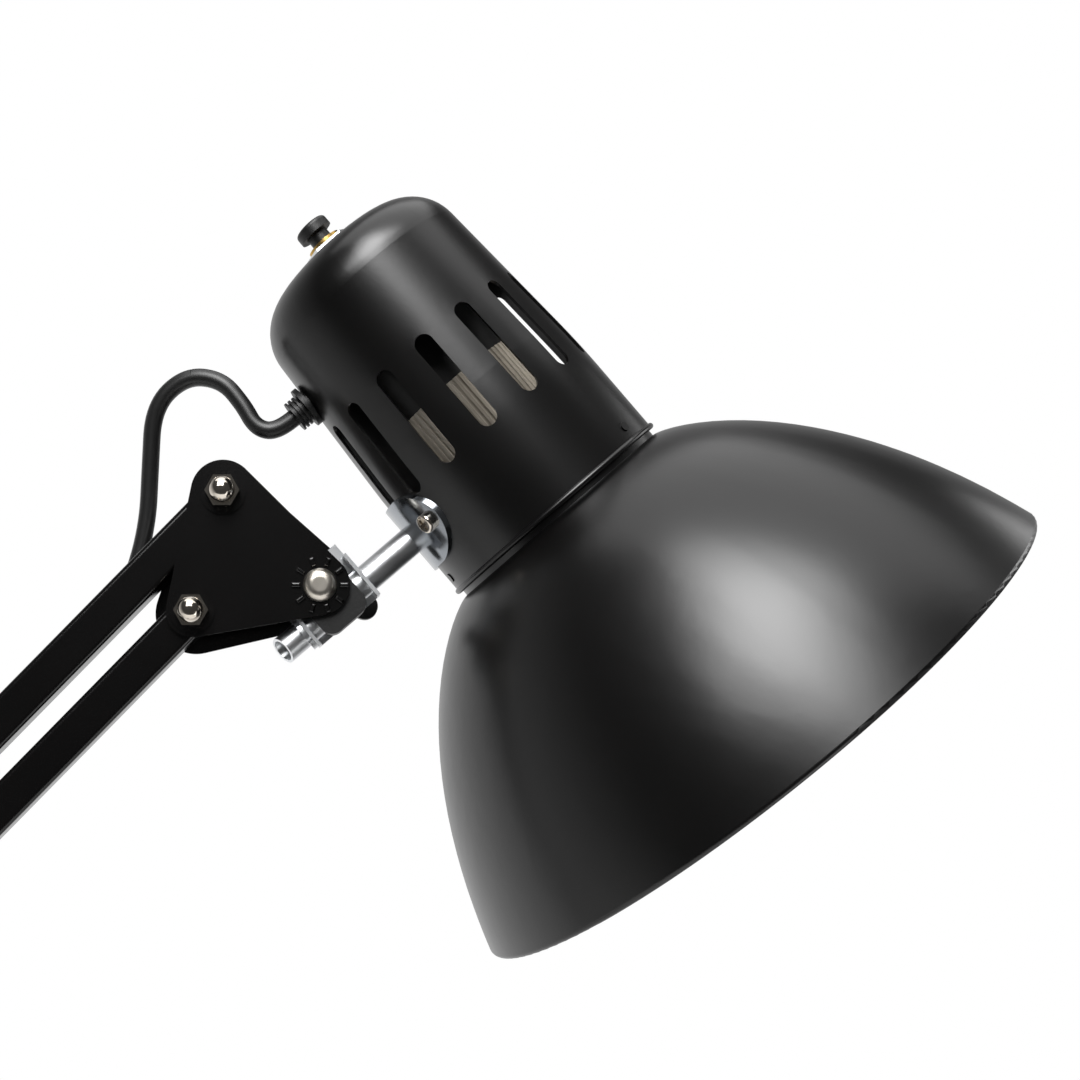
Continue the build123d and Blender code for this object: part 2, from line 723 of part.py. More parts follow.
# Tilt bolt with a domed head on the near side, a washer and a winged knob on the far side.
KNOB_FACE = NEAR_FACE + WASHER + FACE_PLAY
with BuildPart() as tilt_bolt:
    with BuildSketch(Plane.XZ.offset(NEAR_FACE)):
        with Locations(*flat([TILT])):
            Circle(TILT_HEAD_R)
    extrude(amount=TILT_HEAD)
    fillet(tilt_bolt.edges().group_by(Axis.Y)[0], TILT_HEAD_ROUND)
    with BuildSketch(Plane.XZ.offset(NEAR_FACE)):
        with Locations(*flat([TILT])):
            Circle(TILT_R)
    extrude(amount=-NEAR_FACE - KNOB_FACE - KNOB_HUB)
save(tilt_bolt.part, "tilt_bolt")

with BuildPart() as tilt_washer:
    with BuildSketch(Plane.XZ.offset(-NEAR_FACE)):
        with Locations(*flat([TILT])):
            Circle(WASHER_R)
            Circle(TILT_R + FIT, mode=Mode.SUBTRACT)
    extrude(amount=-WASHER)
save(tilt_washer.part, "tilt_washer")

KNOB = Plane(TILT + Vector(0, KNOB_FACE, 0), x_dir=heading(KNOB_TURN), z_dir=(0, 1, 0))
with BuildPart() as tilt_knob:
    with BuildSketch(KNOB):
        Circle(KNOB_HUB_R)
    extrude(amount=KNOB_HUB)
    with BuildSketch(KNOB.offset(KNOB_HUB - KNOB_EAR_THICK)):
        with Locations((-KNOB_EAR_AT, 0), (KNOB_EAR_AT, 0)):
            Circle(KNOB_EAR_R)
        make_hull()
    extrude(amount=KNOB_EAR_THICK)
    with BuildSketch(KNOB):
        Circle(TILT_R + RUN)
    extrude(amount=KNOB_HUB, mode=Mode.SUBTRACT)
save(tilt_knob.part, "tilt_knob")

# Knuckle: a folded clip with a flange at each end, which the stem turns in, round a
# friction block. It tilts between the head plates.
HALF_KNUCKLE = GAP / 2 - FACE_PLAY
CLIP_TOP = STEM_U - BLOCK_UP
STEM_AXIS_END = HEAD.from_local_coords(Vector(STEM_U, TILT_V, 0))
STEM_ROUND = Plane(STEM_AXIS_END, x_dir=AXIS_DIR, z_dir=CROSS_DIR)
with BuildPart() as knuckle_clip:
    with BuildSketch(HEAD.offset(-HALF_KNUCKLE)):
        with Locations(((CLIP_TOP + STEM_U + CLIP_DOWN) / 2, TILT_V)):
            Rectangle(BLOCK_UP + CLIP_DOWN, CLIP_SPAN)
    extrude(amount=CLIP)
    with BuildSketch(HEAD.offset(-HALF_KNUCKLE)):
        for end in (-1, 1):
            with Locations((STEM_U + (CLIP_DOWN - CLIP_UP) / 2, TILT_V + end * (CLIP_SPAN - CLIP) / 2)):
                Rectangle(CLIP_UP + CLIP_DOWN, CLIP)
    extrude(amount=2 * HALF_KNUCKLE)
    with BuildSketch(HEAD):
        with Locations((STEM_U - TILT_TO_STEM, TILT_V)):
            Circle(TILT_R + RUN)
    extrude(amount=GAP, both=True, mode=Mode.SUBTRACT)
    with BuildSketch(STEM_ROUND):
        Circle(STEM_R + RUN)
    extrude(amount=CLIP_SPAN, both=True, mode=Mode.SUBTRACT)
save(knuckle_clip.part, "knuckle_clip")

with BuildPart() as knuckle_block:
    with BuildSketch(HEAD.offset(CLIP - HALF_KNUCKLE)):
        with Locations(((CLIP_TOP + STEM_U + BLOCK_DOWN) / 2, TILT_V)):
            RectangleRounded(BLOCK_UP + BLOCK_DOWN, BLOCK_LONG, BLOCK_ROUND)
        with Locations((STEM_U - TILT_TO_STEM, TILT_V)):
            Circle(TILT_R + RUN, mode=Mode.SUBTRACT)
    extrude(amount=2 * HALF_KNUCKLE - CLIP)
    with BuildSketch(STEM_ROUND):
        Circle(STEM_R + RUN)
    extrude(amount=CLIP_SPAN, both=True, mode=Mode.SUBTRACT)
save(knuckle_block.part, "knuckle_block")

# Stem: a plated tube square to the head's axis, its open end cut at a slant, with a
# push-on retainer that keeps it in the clip.
STEM_FOOT = HOUSING_R + FIT
STEM = Plane(HEAD.from_local_coords(Vector(STEM_U, -STEM_FOOT, 0)), x_dir=AXIS_DIR, z_dir=-CROSS_DIR)
STEM_LENGTH = STEM_END - STEM_FOOT
with BuildPart() as stem_tube:
    with BuildSketch(STEM):
        Circle(STEM_R)
    extrude(amount=STEM_LENGTH)
    with BuildSketch(STEM):
        Circle(STEM_R - STEM_WALL)
    extrude(amount=STEM_LENGTH, mode=Mode.SUBTRACT)
    with BuildSketch(Plane(STEM.origin, x_dir=-CROSS_DIR, z_dir=-AXIS_DIR)):
        with BuildLine():
            Polyline((STEM_LENGTH, -STEM_R), (STEM_LENGTH, STEM_R),
                     (STEM_LENGTH - 2 * STEM_R * tan(radians(STEM_CUT)), STEM_R), close=True)
        make_face()
    extrude(amount=2 * STEM_R, both=True, mode=Mode.SUBTRACT)
save(stem_tube.part, "stem_tube")

RETAINER_AT = CLIP_SPAN / 2 - TILT_V - STEM_FOOT + FACE_PLAY
with BuildPart() as stem_retainer:
    with BuildSketch(STEM.offset(RETAINER_AT)):
        Circle(RETAINER_R)
        Circle(STEM_R + FIT, mode=Mode.SUBTRACT)
        with PolarLocations(RETAINER_R, RETAINER_TABS):
            Rectangle(RETAINER_R - STEM_R, TAB_WIDE, mode=Mode.SUBTRACT)
    extrude(amount=RETAINER)
save(stem_retainer.part, "stem_retainer")


def spoke(u, angle, radius):
    """Plane square to a radius of the head; the angle counts from the stem to the near side."""
    way = CROSS_DIR * -cos(radians(angle)) + Vector(0, -1, 0) * sin(radians(angle))
    return Plane(NECK + AXIS_DIR * u + way * radius, x_dir=AXIS_DIR, z_dir=way)


# Saddle plate: a stadium of plated steel bent round the housing, which the stem's foot sits in.
SADDLE_FACE = STEM_FOOT + SADDLE
SADDLE_SCREWS = (SADDLE_SCREW_ANGLE, -SADDLE_SCREW_ANGLE)
with BuildPart() as saddle_plate:
    with BuildSketch(HEAD):
        with Locations((STEM_U, SADDLE_FACE - SADDLE / 2)):
            Rectangle(SADDLE_TALL, SADDLE)
    revolve(axis=HEAD_AXIS)
    with BuildSketch(Plane(HEAD.from_local_coords(Vector(STEM_U, 0, 0)), x_dir=(0, 1, 0), z_dir=-CROSS_DIR)):
        SlotOverall(SADDLE_WIDE, SADDLE_TALL)
    extrude(amount=2 * HOUSING_R, mode=Mode.INTERSECT)
    with BuildSketch(STEM):
        Circle(STEM_R + FIT)
    extrude(amount=2 * SADDLE, both=True, mode=Mode.SUBTRACT)
    with BuildSketch(*[spoke(STEM_U, angle, HOUSING_R) for angle in SADDLE_SCREWS]):
        Circle(SADDLE_SCREW_R + FIT)
    extrude(amount=2 * SADDLE, both=True, mode=Mode.SUBTRACT)
save(saddle_plate.part, "saddle_plate")

with BuildPart() as saddle_screws:
    seats = [spoke(STEM_U, angle, SADDLE_FACE) for angle in SADDLE_SCREWS]
    with BuildSketch(*seats):
        Circle(SADDLE_SCREW_HEAD_R)
    extrude(amount=SADDLE_SCREW_HEAD)
    heads = saddle_screws.edges().filter_by(GeomType.CIRCLE)
    fillet([e for e in heads
            if (e.center() - NECK - AXIS_DIR * STEM_U).length > SADDLE_FACE + SADDLE_SCREW_HEAD / 2],
           SADDLE_SCREW_ROUND)
    with BuildSketch(*seats):
        Circle(SADDLE_SCREW_R)
    extrude(amount=-SADDLE_SCREW_LENGTH)
    with BuildSketch(*[seat.offset(SADDLE_SCREW_HEAD - CROSS_DEEP) for seat in seats]):
        Rectangle(CROSS_LONG, CROSS_WIDE)
        Rectangle(CROSS_WIDE, CROSS_LONG)
    extrude(amount=2 * CROSS_DEEP, mode=Mode.SUBTRACT)
save(saddle_screws.part, "saddle_screws")

INSIDE_R = HOUSING_R - WALL
NUT_CORNER = SADDLE_NUT_FLATS / sqrt(3)
NUT_SEAT = sqrt(INSIDE_R ** 2 - NUT_CORNER ** 2) - FIT
with BuildPart() as saddle_nuts:
    with BuildSketch(*[spoke(STEM_U, angle, NUT_SEAT) for angle in SADDLE_SCREWS]):
        RegularPolygon(SADDLE_NUT_FLATS / 2, 6, major_radius=False)
        Circle(SADDLE_SCREW_R + FIT, mode=Mode.SUBTRACT)
    extrude(amount=-SADDLE_NUT)
save(saddle_nuts.part, "saddle_nuts")

# Housing: a drawn steel cup with vent slots, hemmed at its mouth.
TAPER = (HOUSING_R - HOUSING_TOP_R) / (HOUSING_LENGTH - HOUSING_STRAIGHT)
GRIP_U = GRIP_FROM_TOP - HOUSING_LENGTH
GRIP_SEAT = HOUSING_R - TAPER * (-GRIP_U - HOUSING_STRAIGHT) + GRIP_LIFT


def cup(inset):
    """Solid inside the housing's outline, set in by a wall."""
    with BuildPart() as body:
        with BuildSketch(HEAD) as half:
            with BuildLine():
                Polyline(
                    (0, 0),
                    (0, HOUSING_R - inset),
                    (-HOUSING_STRAIGHT, HOUSING_R - inset),
                    (inset - HOUSING_LENGTH, HOUSING_TOP_R - inset),
                    (inset - HOUSING_LENGTH, 0),
                    close=True,
                )
            make_face()
            fillet(half.vertices().group_by(Axis.X)[1], HOUSING_BLEND - inset)
            fillet(half.vertices().group_by(Axis.X)[0].sort_by(Axis.Y)[-1], HOUSING_ROUND - inset)
        revolve(axis=HEAD_AXIS)
    return body.part


with BuildPart() as housing:
    add(cup(0))
    add(cup(WALL), mode=Mode.SUBTRACT)
    with BuildSketch(HEAD):
        with Locations((-HEM_R, HOUSING_R + HEM_R - WALL + FIT)):
            Circle(HEM_R)
    revolve(axis=HEAD_AXIS)
    with BuildSketch(*[spoke(SLOT_U, SLOT_FIRST + n * 360 / SLOTS, HOUSING_TOP_R / 2) for n in range(SLOTS)]):
        SlotOverall(SLOT_LENGTH, SLOT_WIDTH)
    extrude(amount=HOUSING_R, mode=Mode.SUBTRACT)
    with BuildSketch(*[spoke(STEM_U, angle, HOUSING_R / 2) for angle in SADDLE_SCREWS]):
        Circle(SADDLE_SCREW_R + FIT)
    extrude(amount=HOUSING_R, mode=Mode.SUBTRACT)
    with BuildSketch(*[spoke(CRIMP_U, angle, HOUSING_R / 2) for angle in CRIMP_ANGLES]):
        Circle(CRIMP_R + FIT)
    extrude(amount=HOUSING_R, mode=Mode.SUBTRACT)
    with BuildSketch(spoke(GRIP_U, 0, HOUSING_TOP_R / 2)):
        Circle(GRIP_R + FIT)
    extrude(amount=HOUSING_R, mode=Mode.SUBTRACT)
    with BuildSketch(Plane(NECK - AXIS_DIR * HOUSING_LENGTH, z_dir=AXIS_DIR)):
        Circle(NIPPLE_R + FIT)
    extrude(amount=2 * WALL, both=True, mode=Mode.SUBTRACT)
save(housing.part, "housing")

# Shade: a spun dome whose collar sits inside the housing, with a rolled rim.
COLLAR_R = INSIDE_R - COLLAR_PLAY
DOME_START, DOME_END = Vector(NECK_U, COLLAR_R), Vector(MOUTH_U, SHADE_R)
STEER_1, STEER_2 = Vector(*DOME_STEER_1), Vector(*DOME_STEER_2)
IN_START = (STEER_1 - DOME_START).normalized().rotate(Axis.Z, -90) * WALL
IN_END = (DOME_END - STEER_2).normalized().rotate(Axis.Z, -90) * WALL
with BuildPart() as shade:
    with BuildSketch(HEAD):
        with BuildLine():
            Polyline((NECK_U, COLLAR_R - WALL), (-COLLAR, COLLAR_R - WALL), (-COLLAR, COLLAR_R), DOME_START)
            Bezier(DOME_START, STEER_1, STEER_2, DOME_END)
            Line(DOME_END, DOME_END + IN_END)
            Bezier(DOME_END + IN_END, STEER_2 + IN_END, STEER_1 + IN_START, DOME_START + IN_START)
            Line(DOME_START + IN_START, (NECK_U, COLLAR_R - WALL))
        make_face()
    revolve(axis=HEAD_AXIS)
    with BuildSketch(HEAD):
        with Locations(DOME_END + IN_END * (RIM_R / WALL)):
            Circle(RIM_R)
    revolve(axis=HEAD_AXIS)
    with BuildSketch(*[spoke(CRIMP_U, angle, COLLAR_R / 2) for angle in CRIMP_ANGLES]):
        Circle(CRIMP_R + FIT)
    extrude(amount=COLLAR_R, mode=Mode.SUBTRACT)
save(shade.part, "shade")

with BuildPart() as shade_rivets:
    with BuildSketch(*[spoke(CRIMP_U, angle, HOUSING_R) for angle in CRIMP_ANGLES]):
        Circle(CRIMP_HEAD_R)
    extrude(amount=CRIMP_HEAD)
    with BuildSketch(*[spoke(CRIMP_U, angle, HOUSING_R) for angle in CRIMP_ANGLES]):
        Circle(CRIMP_R)
    extrude(amount=-2 * WALL - COLLAR_PLAY - CRIMP_HEAD)
save(shade_rivets.part, "shade_rivets")


def turned(u_from, u_to, radius, bore=0.0):
    """Round solid on the head's axis between two places."""
    with BuildPart() as body:
        with BuildSketch(Plane(NECK + AXIS_DIR * u_from, z_dir=AXIS_DIR)):
            Circle(radius)
            if bore:
                Circle(bore, mode=Mode.SUBTRACT)
        extrude(amount=u_to - u_from)
    return body.part


# Lampholder: black cap with the switch, ribbed ceramic skirt, screw shell and contact,
# hung from the housing's top on a threaded nipple that the push button runs through.
BUTTON_R = NIPPLE_R - NIPPLE_WALL - RUN
NIPPLE_TOP = -HOUSING_LENGTH - NIPPLE_OUT
with BuildPart() as holder_cap:
    add(turned(CAP_TOP, SKIRT_TOP, CAP_R))
    fillet(holder_cap.edges().sort_by(HEAD_AXIS)[0], CAP_ROUND)
    add(turned(CAP_TOP, CAP_TOP + NIPPLE_GRIP, NIPPLE_R + FIT), mode=Mode.SUBTRACT)
save(holder_cap.part, "holder_cap")

with BuildPart() as holder_skirt:
    with BuildSketch(Plane(NECK + AXIS_DIR * SKIRT_TOP, z_dir=AXIS_DIR)):
        Circle(SKIRT_R)
        with PolarLocations(SKIRT_R, SKIRT_FLUTES):
            Circle(SKIRT_FLUTE_R, mode=Mode.SUBTRACT)
    extrude(amount=SKIRT_MOUTH - SKIRT_TOP)
    add(turned(SKIRT_FLOOR, SKIRT_MOUTH, SKIRT_BORE), mode=Mode.SUBTRACT)
save(holder_skirt.part, "holder_skirt")

SHELL_R = SKIRT_BORE - FIT
SHELL_FOOT = SKIRT_FLOOR + CONTACT + SHELL_LIFT
save(turned(SHELL_FOOT, SHELL_MOUTH, SHELL_R, SHELL_R - SHELL_WALL), "screw_shell")
save(turned(SKIRT_FLOOR, SKIRT_FLOOR + CONTACT, CONTACT_R), "centre_contact")
save(turned(NIPPLE_TOP, CAP_TOP + NIPPLE_GRIP, NIPPLE_R, NIPPLE_R - NIPPLE_WALL), "holder_nipple")

with BuildPart() as nipple_nuts:
    for seat in (-HOUSING_LENGTH - RING_NUT, WALL - HOUSING_LENGTH):
        with BuildSketch(Plane(NECK + AXIS_DIR * seat, z_dir=AXIS_DIR)):
            RegularPolygon(RING_NUT_R, 6)
            Circle(NIPPLE_R + FIT, mode=Mode.SUBTRACT)
        extrude(amount=RING_NUT)
save(nipple_nuts.part, "nipple_nuts")

with BuildPart() as switch_button:
    add(turned(NIPPLE_TOP - BUTTON_OUT, NIPPLE_TOP - BUTTON_OUT + BUTTON_LENGTH, BUTTON_R))
    add(turned(NIPPLE_TOP - BUTTON_OUT, NIPPLE_TOP - BUTTON_OUT + BUTTON_CAP, BUTTON_CAP_R))
    fillet(switch_button.edges().sort_by(HEAD_AXIS)[0], BUTTON_ROUND)
save(switch_button.part, "switch_button")

# Cord grip in the housing's side, with ribs on its nose.
GRIP = spoke(GRIP_U, 0, GRIP_SEAT)
GRIP_END = GRIP_FLANGE + GRIP_NOSE
with BuildPart() as cord_grip:
    with BuildSketch(GRIP):
        Circle(GRIP_FLANGE_R)
    extrude(amount=GRIP_FLANGE)
    with BuildSketch(GRIP):
        Circle(GRIP_NOSE_R)
    extrude(amount=GRIP_END)
    groove = GRIP_NOSE / (2 * GRIP_RIBS)
    for n in range(GRIP_RIBS):
        with BuildSketch(GRIP.offset(GRIP_FLANGE + 2 * n * groove)):
            Circle(GRIP_NOSE_R)
            Circle(GRIP_NOSE_R - GRIP_RIB_CUT, mode=Mode.SUBTRACT)
        extrude(amount=groove, mode=Mode.SUBTRACT)
    with BuildSketch(GRIP):
        Circle(GRIP_R)
    extrude(amount=-GRIP_TAIL - WALL)
    with BuildSketch(GRIP.offset(GRIP_END)):
        Circle(CORD_R + FIT)
    extrude(amount=-GRIP_END - GRIP_TAIL - WALL, mode=Mode.SUBTRACT)
save(cord_grip.part, "cord_grip")

GRIP_MOUTH = GRIP.from_local_coords(Vector(0, 0, GRIP_END))
save(straight_run(spoke(GRIP_U, 0, CAP_R + FIT).origin, GRIP_MOUTH), "holder_lead")

# Cord: over from the grip to the far side of the top bar, inside it to the elbow, round
# the elbow into the rear bar, and out above the fork to the table.
SLOT_REACH = BAR / 2 / tan(radians(SLOT_ANGLE))
SIDE_REACH = (HEAD_SIDE_OUT - BAR / 2) / tan(radians(SLOT_ANGLE))
TOP_BAR_IN = UPPER_LENGTH - HEAD_SLOT - SLOT_REACH
HEAD_CORD = [
    GRIP_MOUTH,
    GRIP_MOUTH + Vector(-4.6, 0, -3.9),
    GRIP_MOUTH + Vector(-10.4, 0.3, -2.9),
    GRIP_MOUTH + Vector(-13.9, 1, 3.6),
    GRIP_MOUTH + Vector(-19.8, 2, 10.6),
    HEAD_HIGH + Vector(-11.0, 4, 33.0),
    HEAD_HIGH + Vector(-19.9, 6.5, 25.1),
    HEAD_HIGH + Vector(-21.0, 9, 9.3),
    HEAD_HIGH + Vector(-22.0, 10.5, -7.7),
    HEAD_HIGH + Vector(-27.5, 11.5, -25.7),
    HEAD_HIGH + Vector(-37.0, 11.5, -38.7),
    UPPER_HIGH.from_local_coords(Vector(UPPER_LENGTH - HEAD_SLOT + SIDE_REACH, 0, -HEAD_SIDE_OUT)),
    UPPER_HIGH.from_local_coords(Vector(TOP_BAR_IN, 0, 0)),
    UPPER_HIGH.from_local_coords(Vector(TOP_BAR_IN - SLOT_RUN, 0, 0)),
]
ELBOW_OUT = ELBOW_SLOT + SLOT_REACH
ELBOW_CORD = [
    UPPER_HIGH.from_local_coords(Vector(ELBOW_OUT + SLOT_RUN, 0, 0)),
    UPPER_HIGH.from_local_coords(Vector(ELBOW_OUT, 0, 0)),
    ELBOW_REAR + Vector(26.0, 0, 81.0),
    ELBOW_REAR + Vector(-6.0, 1, 62.0),
    ELBOW_REAR + Vector(-32.0, 2, 36.0),
    ELBOW_REAR + Vector(-30.0, 1, 4.0),
    ELBOW_REAR + Vector(-11.0, 0, -19.5),
    LOWER_REAR.from_local_coords(Vector(LOWER_LENGTH - ELBOW_OUT, 0, 0)),
    LOWER_REAR.from_local_coords(Vector(LOWER_LENGTH - ELBOW_OUT - SLOT_RUN, 0, 0)),
]
COIL_OUTER = COIL_INNER + COIL_STEP * COIL_HALF_TURNS
COIL_START = COIL_CENTRE + Vector(2 * CORD_R, COIL_OUTER, COIL_LOW)
BASE_OUT = BASE_SLOT + SLOT_REACH
TAIL_CORD = [
    LOWER_REAR.from_local_coords(Vector(BASE_OUT + SLOT_RUN, 0, 0)),
    LOWER_REAR.from_local_coords(Vector(BASE_OUT, 0, 0)),
    (-35.6, 0, 75.0),
    (-37.5, -1.0, 46.0),
    (-40.5, -3.0, 24.0),
    (-50.0, -4.2, 9.0),
    (-67.0, -4.9, 3.9),
    COIL_START + Vector(9, 0, 0),
    COIL_START,
]
save(smooth_run(HEAD_CORD, "head_cord"), "head_cord")
save(smooth_run(ELBOW_CORD, "elbow_cord"), "elbow_cord")
save(smooth_run(TAIL_CORD, "tail_cord"), "tail_cord")
save(straight_run(HEAD_CORD[-1], ELBOW_CORD[0]), "upper_arm_cord")
save(straight_run(ELBOW_CORD[-1], TAIL_CORD[0]), "lower_arm_cord")


def coil_place(turns):
    """Point of the put-away coil: in, up a layer and out again."""
    back = turns - COIL_HALF_TURNS
    angle, radius = pi / 2 + 2 * pi * turns, COIL_INNER + COIL_STEP * abs(back)
    climb = min(max(2 * back + 0.5, 0), 1)
    rise = COIL_STEP * climb * climb * (3 - 2 * climb)
    return COIL_CENTRE + Vector(radius * cos(angle), radius * sin(angle), COIL_LOW + rise)


# Put-away cord: two layers of turns lying on the table, ending in the plug.
PLUG_MOUTH = COIL_CENTRE + Vector(PLUG_LEAD, -COIL_OUTER, COIL_LOW + COIL_STEP)
with BuildPart() as cord_coil:
    quarters = [n / 4 for n in range(1, round(8 * COIL_HALF_TURNS))]
    stops = [(coil_place(q), (coil_place(q + 0.01) - coil_place(q - 0.01)).normalized()) for q in quarters]
    west, east = Vector(-1, 0, 0), Vector(1, 0, 0)
    stops = [(coil_place(0), west)] + stops + [(coil_place(2 * COIL_HALF_TURNS), east)]
    with BuildLine() as coil_path:
        Line(COIL_START, coil_place(0))
        for (p0, t0), (p1, t1) in zip(stops, stops[1:]):
            biarc(p0, t0, p1, t1)
        Line(coil_place(2 * COIL_HALF_TURNS), PLUG_MOUTH)
    with BuildSketch(Plane(COIL_START, z_dir=west)):
        Circle(CORD_R)
    sweep()
turn_points = [coil_place(n / 36) for n in range(round(72 * COIL_HALF_TURNS) + 1)]
print("cord_coil length", round(coil_path.wire().length, 1), "gap to itself",
      round(least_gap(turn_points, CORD_R, 3 * COIL_INNER), 2))
save(cord_coil.part, "cord_coil")

# Tie round all the turns on the side away from the lamp.
TIE_SPAN = COIL_OUTER - COIL_STEP / 4 - COIL_INNER + 2 * CORD_R + 2 * TIE_PLAY
TIE_RISE = COIL_STEP + 2 * CORD_R + 2 * TIE_PLAY
TIE_MIDDLE = (-COIL_CENTRE.X + (COIL_OUTER - COIL_STEP / 4 + COIL_INNER) / 2, COIL_LOW + COIL_STEP / 2)
with BuildPart() as cord_tie:
    with BuildSketch(Plane.XZ.offset(-COIL_CENTRE.Y - TIE_WIDE / 2)):
        with Locations((-TIE_MIDDLE[0], TIE_MIDDLE[1])):
            RectangleRounded(TIE_SPAN + 2 * TIE, TIE_RISE + 2 * TIE, 2 * TIE)
            RectangleRounded(TIE_SPAN, TIE_RISE, TIE, mode=Mode.SUBTRACT)
    extrude(amount=TIE_WIDE)
save(cord_tie.part, "cord_tie")

# Plug: moulded body with a tapered relief and two round pins.
PLUG = Plane(PLUG_MOUTH, x_dir=(0, 1, 0), z_dir=(1, 0, 0))
with BuildPart() as plug_body:
    with BuildSketch(PLUG.offset(PLUG_RELIEF)):
        RectangleRounded(PLUG_WIDE, PLUG_TALL, PLUG_ROUND)
    extrude(amount=PLUG_LONG)
    with BuildSketch(PLUG):
        Circle(PLUG_RELIEF_R)
    with BuildSketch(PLUG.offset(PLUG_RELIEF)):
        Circle(PLUG_TALL / 2 - PLUG_RELIEF_R / 2)
    loft()
save(plug_body.part, "plug_body")

with BuildPart() as plug_pins:
    with BuildSketch(PLUG.offset(PLUG_RELIEF + PLUG_LONG)):
        with Locations((-PLUG_PIN_SPACING / 2, 0), (PLUG_PIN_SPACING / 2, 0)):
            Circle(PLUG_PIN_R)
    extrude(amount=PLUG_PIN)
    fillet(plug_pins.edges().group_by(Axis.X)[-1], PLUG_PIN_R / 2)
save(plug_pins.part, "plug_pins")
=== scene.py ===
# Clamp lamp: a black enamelled head on two sprung parallelogram arms.
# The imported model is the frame; each section below finishes one group of pieces.
import bpy
from math import cos, pi, radians, sin
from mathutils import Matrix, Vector


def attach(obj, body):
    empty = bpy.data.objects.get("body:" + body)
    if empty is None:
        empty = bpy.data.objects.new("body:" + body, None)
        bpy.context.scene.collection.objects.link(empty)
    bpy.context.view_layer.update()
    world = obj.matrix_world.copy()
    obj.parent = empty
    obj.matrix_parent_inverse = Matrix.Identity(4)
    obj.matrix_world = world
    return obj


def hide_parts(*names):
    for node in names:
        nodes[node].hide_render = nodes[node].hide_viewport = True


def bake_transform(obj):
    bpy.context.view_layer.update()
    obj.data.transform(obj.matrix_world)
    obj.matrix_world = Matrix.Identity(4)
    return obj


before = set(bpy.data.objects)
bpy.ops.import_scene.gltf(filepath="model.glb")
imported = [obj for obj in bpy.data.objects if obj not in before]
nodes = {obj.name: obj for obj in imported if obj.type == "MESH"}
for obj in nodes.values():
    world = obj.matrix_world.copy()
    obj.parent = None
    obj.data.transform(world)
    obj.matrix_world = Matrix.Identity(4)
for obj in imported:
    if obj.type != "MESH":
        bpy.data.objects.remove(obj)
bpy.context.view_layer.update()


# Table clamp: a cast C frame with the swivel socket on top, stove enamelled black.
# Its jaw and pressure pad are faced with rubber so that they don't mark the table.
def linear(colour):
    """An sRGB hex colour as linear values."""
    parts = [int(colour[i:i + 2], 16) / 255 for i in (1, 3, 5)]
    return [c / 12.92 if c <= 0.04045 else ((c + 0.055) / 1.055) ** 2.4 for c in parts] + [1.0]


def add_node(material, kind, settings={}, values={}, links={}):
    """Adds one node with its settings, socket values and incoming links."""
    made = material.node_tree.nodes.new(kind)
    for name, setting in settings.items():
        setattr(made, name, setting)
    for name, value in values.items():
        made.inputs[name].default_value = value
    for name, source in links.items():
        material.node_tree.links.new(source, made.inputs[name])
    return made


def finish_of(name):
    """A new material with its shader and a place texture to work from."""
    material = bpy.data.materials.new(name)
    material.use_nodes = True
    shader = material.node_tree.nodes["Principled BSDF"]
    place = add_node(material, "ShaderNodeTexCoord").outputs["Object"]
    return material, shader, place


def coat(material, *names):
    """Gives CAD nodes a finish."""
    for name in names:
        nodes[name].data.materials.clear()
        nodes[name].data.materials.append(material)


# Black stove enamel: a fine orange peel of about 1.5 mm under a gloss that drifts a
# little where it was sprayed thicker.
def black_enamel(name, smooth, dull):
    """Black enamel whose roughness drifts between two values."""
    made, shader, place = finish_of(name)
    shader.inputs["IOR"].default_value = 1.5
    drift = add_node(made, "ShaderNodeTexNoise", {}, {"Scale": 28.0, "Detail": 3.0}, {"Vector": place})
    tone = add_node(made, "ShaderNodeMix", {"data_type": "RGBA"},
                    {"A": linear("#030303"), "B": linear("#060505")}, {"Factor": drift.outputs["Fac"]})
    gloss = add_node(made, "ShaderNodeMapRange", {}, {"To Min": smooth, "To Max": dull},
                     {"Value": drift.outputs["Fac"]})
    peel = add_node(made, "ShaderNodeTexNoise", {}, {"Scale": 650.0, "Detail": 2.0}, {"Vector": place})
    skin = add_node(made, "ShaderNodeBump", {}, {"Strength": 0.05, "Distance": 0.0002},
                    {"Height": peel.outputs["Fac"]})
    made.node_tree.links.new(tone.outputs["Result"], shader.inputs["Base Color"])
    made.node_tree.links.new(gloss.outputs["Result"], shader.inputs["Roughness"])
    made.node_tree.links.new(skin.outputs["Normal"], shader.inputs["Normal"])
    return made


enamel = black_enamel("gloss_black_enamel", 0.17, 0.23)
coat(enamel, "clamp_frame")

# Moulded nitrile rubber: matt, with a fine grain from the mould.
rubber, shader, place = finish_of("moulded_black_rubber")
grain = add_node(rubber, "ShaderNodeTexNoise", {}, {"Scale": 900.0, "Detail": 3.0}, {"Vector": place})
tone = add_node(rubber, "ShaderNodeMix", {"data_type": "RGBA"},
                {"A": linear("#141414"), "B": linear("#222120")}, {"Factor": grain.outputs["Fac"]})
skin = add_node(rubber, "ShaderNodeBump", {}, {"Strength": 0.3, "Distance": 0.0003},
                {"Height": grain.outputs["Fac"]})
rubber.node_tree.links.new(tone.outputs["Result"], shader.inputs["Base Color"])
rubber.node_tree.links.new(skin.outputs["Normal"], shader.inputs["Normal"])
shader.inputs["Roughness"].default_value = 0.75
coat(rubber, "jaw_pad", "pad_rubber")

